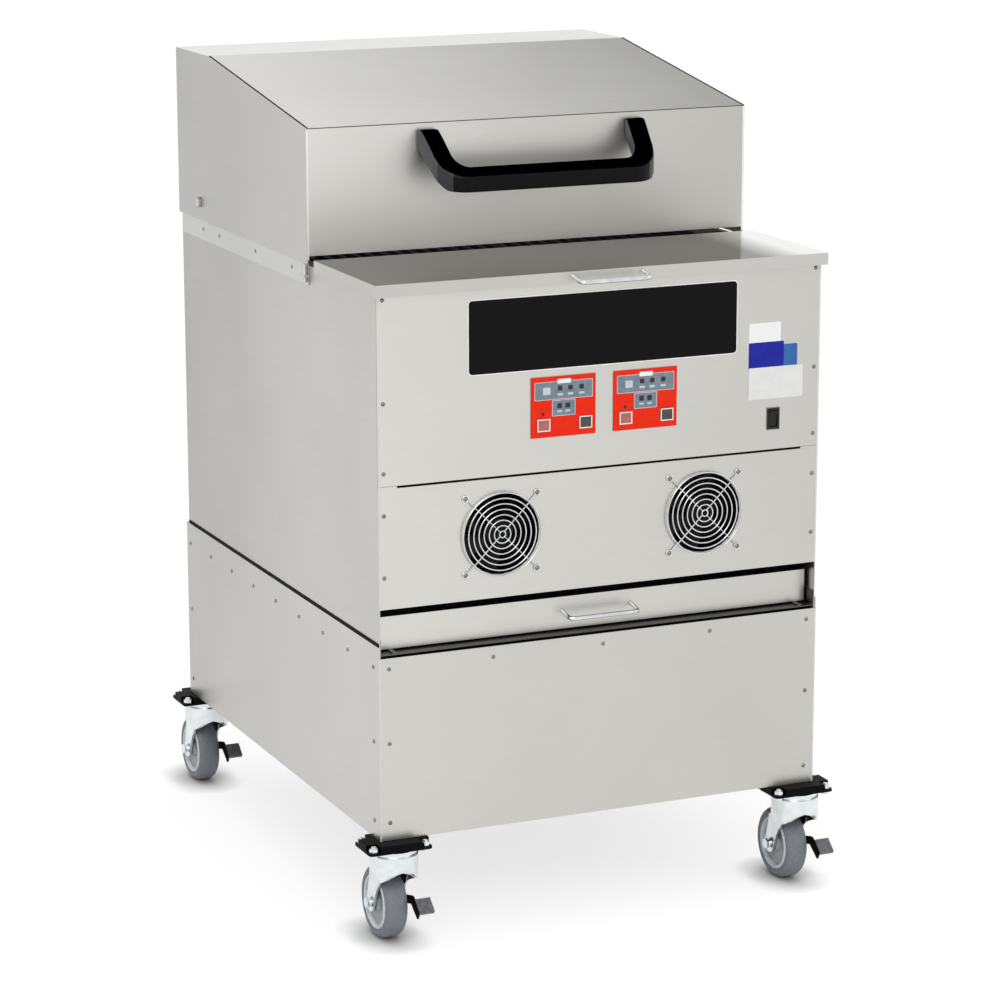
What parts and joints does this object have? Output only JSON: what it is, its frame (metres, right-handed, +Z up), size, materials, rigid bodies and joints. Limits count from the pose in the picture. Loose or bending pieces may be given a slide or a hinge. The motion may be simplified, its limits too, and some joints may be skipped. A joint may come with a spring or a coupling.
{
  "type": "pellet charbroiler",
  "caption": "Steel pellet charbroiler on casters: a stand, a drip drawer, a front hopper with a lid, fans, controllers and a hinged hood over the grates.",
  "frame": {"origin": "on the floor, under the middle of the bounding box", "axes": "+Z up, +X to the right of the front face, +Y from the front to the back"},
  "size_m": [0.708, 0.9076, 1.1479],
  "materials": {
    "steel_panel": "brushed stainless sheet",
    "sooty_steel": "heat-stained sheet steel",
    "cast_iron": "rough, seasoned",
    "black_plastic": "moulded, low gloss",
    "red_overlay": "smooth overlay",
    "bright_wire": "bright plated",
    "zinc_plate": "bright zinc",
    "black_paint": "satin black",
    "grey_rubber": "matt grey"
  },
  "bodies": {
    "cabinet": {"base_front_panel": "steel_panel", "base_side_left": "steel_panel", "base_side_right": "steel_panel", "base_back_panel": "steel_panel", "drawer_cradle": "steel_panel", "body_side_left": "steel_panel", "body_side_right": "steel_panel", "body_back_panel": "steel_panel", "upper_front_panel": "steel_panel", "lower_front_panel": "steel_panel", "hopper_bin": "steel_panel", "firebox": "sooty_steel", "heat_baffle": "sooty_steel", "fire_pot_left": "cast_iron", "fire_pot_right": "cast_iron", "fan_frame_left": "black_plastic", "fan_frame_right": "black_plastic", "switch_housing": "black_plastic", "controller_left": "red_overlay", "controller_right": "red_overlay", "fan_guard_left": "bright_wire", "fan_guard_right": "bright_wire", "hood_rail_left": "zinc_plate", "hood_rail_right": "zinc_plate", "auger_drive_left": "zinc_plate", "auger_drive_right": "zinc_plate", "base_frame": "black_paint", "caster_mount_front_left": "black_paint", "caster_mount_front_right": "black_paint", "caster_mount_rear_left": "black_paint", "caster_mount_rear_right": "black_paint"},
    "hood": {"hood_shell": "steel_panel", "hood_handle": "black_plastic"},
    "lid": {"hopper_lid": "steel_panel", "lid_pull": "bright_wire"},
    "drawer": {"drawer_box": "steel_panel", "drawer_pull": "bright_wire"},
    "rocker": {"switch_rocker": "black_plastic"},
    "grate_left": {"cooking_grate_left": "cast_iron"},
    "rotor_left": {"fan_rotor_left": "black_plastic"},
    "screw_left": {"auger_left": "zinc_plate"},
    "start_key_left": {"start_button_left": "red_overlay"},
    "mode_key_left": {"mode_button_left": "black_plastic"},
    "grate_right": {"cooking_grate_right": "cast_iron"},
    "rotor_right": {"fan_rotor_right": "black_plastic"},
    "screw_right": {"auger_right": "zinc_plate"},
    "start_key_right": {"start_button_right": "red_overlay"},
    "mode_key_right": {"mode_button_right": "black_plastic"},
    "fork_front_left": {"caster_fork_front_left": "zinc_plate"},
    "wheel_front_left": {"caster_wheel_front_left": "grey_rubber"},
    "brake_front_left": {"caster_brake_front_left": "black_paint"},
    "fork_front_right": {"caster_fork_front_right": "zinc_plate"},
    "wheel_front_right": {"caster_wheel_front_right": "grey_rubber"},
    "brake_front_right": {"caster_brake_front_right": "black_paint"},
    "fork_rear_left": {"caster_fork_rear_left": "zinc_plate"},
    "wheel_rear_left": {"caster_wheel_rear_left": "grey_rubber"},
    "brake_rear_left": {"caster_brake_rear_left": "black_paint"},
    "fork_rear_right": {"caster_fork_rear_right": "zinc_plate"},
    "wheel_rear_right": {"caster_wheel_rear_right": "grey_rubber"},
    "brake_rear_right": {"caster_brake_rear_right": "black_paint"}
  },
  "joints": [
    {"name": "hood_hinge", "type": "hinge", "parent": "cabinet", "child": "hood", "pos_m": [0, 0.27419, 0.92856], "axis": [-1, 0, 0], "range_deg": [0, 75]},
    {"name": "lid_hinge", "type": "hinge", "parent": "cabinet", "child": "lid", "pos_m": [0, -0.19601, 0.90536], "axis": [-1, 0, 0], "range_deg": [0, 50]},
    {"name": "drawer_slide", "type": "slide", "parent": "cabinet", "child": "drawer", "axis": [0, -1, 0], "range_m": [0, 0.45]},
    {"name": "rocker_tilt", "type": "hinge", "parent": "cabinet", "child": "rocker", "pos_m": [0.258, -0.41511, 0.68386], "axis": [-1, 0, 0], "range_deg": [0, 14]},
    {"name": "grate_left_lift", "type": "slide", "parent": "cabinet", "child": "grate_left", "axis": [0, 0, 1], "range_m": [0, 0.1]},
    {"name": "rotor_left_spin", "type": "hinge", "parent": "cabinet", "child": "rotor_left", "pos_m": [-0.152, -0.39381, 0.56086], "axis": [0, 1, 0], "continuous": true},
    {"name": "screw_left_spin", "type": "hinge", "parent": "cabinet", "child": "screw_left", "pos_m": [-0.152, -0.21381, 0.64586], "axis": [0, 1, 0], "continuous": true},
    {"name": "start_key_left_press", "type": "slide", "parent": "cabinet", "child": "start_key_left", "axis": [0, 1, 0], "range_m": [0, 0.001], "stiffness_N_per_m": 300},
    {"name": "mode_key_left_press", "type": "slide", "parent": "cabinet", "child": "mode_key_left", "axis": [0, 1, 0], "range_m": [0, 0.001], "stiffness_N_per_m": 300},
    {"name": "grate_right_lift", "type": "slide", "parent": "cabinet", "child": "grate_right", "axis": [0, 0, 1], "range_m": [0, 0.1]},
    {"name": "rotor_right_spin", "type": "hinge", "parent": "cabinet", "child": "rotor_right", "pos_m": [0.152, -0.39381, 0.56086], "axis": [0, 1, 0], "continuous": true},
    {"name": "screw_right_spin", "type": "hinge", "parent": "cabinet", "child": "screw_right", "pos_m": [0.152, -0.21381, 0.64586], "axis": [0, 1, 0], "continuous": true},
    {"name": "start_key_right_press", "type": "slide", "parent": "cabinet", "child": "start_key_right", "axis": [0, 1, 0], "range_m": [0, 0.001], "stiffness_N_per_m": 300},
    {"name": "mode_key_right_press", "type": "slide", "parent": "cabinet", "child": "mode_key_right", "axis": [0, 1, 0], "range_m": [0, 0.001], "stiffness_N_per_m": 300},
    {"name": "swivel_front_left", "type": "hinge", "parent": "cabinet", "child": "fork_front_left", "pos_m": [-0.308, -0.40581, 0.13], "axis": [0, 0, 1], "continuous": true},
    {"name": "roll_front_left", "type": "hinge", "parent": "fork_front_left", "child": "wheel_front_left", "pos_m": [-0.308, -0.37081, 0.05056], "axis": [1, 0, 0], "continuous": true},
    {"name": "brake_front_left_press", "type": "hinge", "parent": "fork_front_left", "child": "brake_front_left", "pos_m": [-0.308, -0.37081, 0.05056], "axis": [1, 0, 0], "range_deg": [0, 18]},
    {"name": "swivel_front_right", "type": "hinge", "parent": "cabinet", "child": "fork_front_right", "pos_m": [0.308, -0.40581, 0.13], "axis": [0, 0, 1], "continuous": true},
    {"name": "roll_front_right", "type": "hinge", "parent": "fork_front_right", "child": "wheel_front_right", "pos_m": [0.308, -0.37081, 0.05056], "axis": [1, 0, 0], "continuous": true},
    {"name": "brake_front_right_press", "type": "hinge", "parent": "fork_front_right", "child": "brake_front_right", "pos_m": [0.308, -0.37081, 0.05056], "axis": [1, 0, 0], "range_deg": [0, 18]},
    {"name": "swivel_rear_left", "type": "hinge", "parent": "cabinet", "child": "fork_rear_left", "pos_m": [-0.308, 0.36819, 0.13], "axis": [0, 0, 1], "continuous": true},
    {"name": "roll_rear_left", "type": "hinge", "parent": "fork_rear_left", "child": "wheel_rear_left", "pos_m": [-0.308, 0.40319, 0.05056], "axis": [1, 0, 0], "continuous": true},
    {"name": "brake_rear_left_press", "type": "hinge", "parent": "fork_rear_left", "child": "brake_rear_left", "pos_m": [-0.308, 0.40319, 0.05056], "axis": [1, 0, 0], "range_deg": [0, 18]},
    {"name": "swivel_rear_right", "type": "hinge", "parent": "cabinet", "child": "fork_rear_right", "pos_m": [0.308, 0.36819, 0.13], "axis": [0, 0, 1], "continuous": true},
    {"name": "roll_rear_right", "type": "hinge", "parent": "fork_rear_right", "child": "wheel_rear_right", "pos_m": [0.308, 0.40319, 0.05056], "axis": [1, 0, 0], "continuous": true},
    {"name": "brake_rear_right_press", "type": "hinge", "parent": "fork_rear_right", "child": "brake_rear_right", "pos_m": [0.308, 0.40319, 0.05056], "axis": [1, 0, 0], "range_deg": [0, 18]}
  ]
}
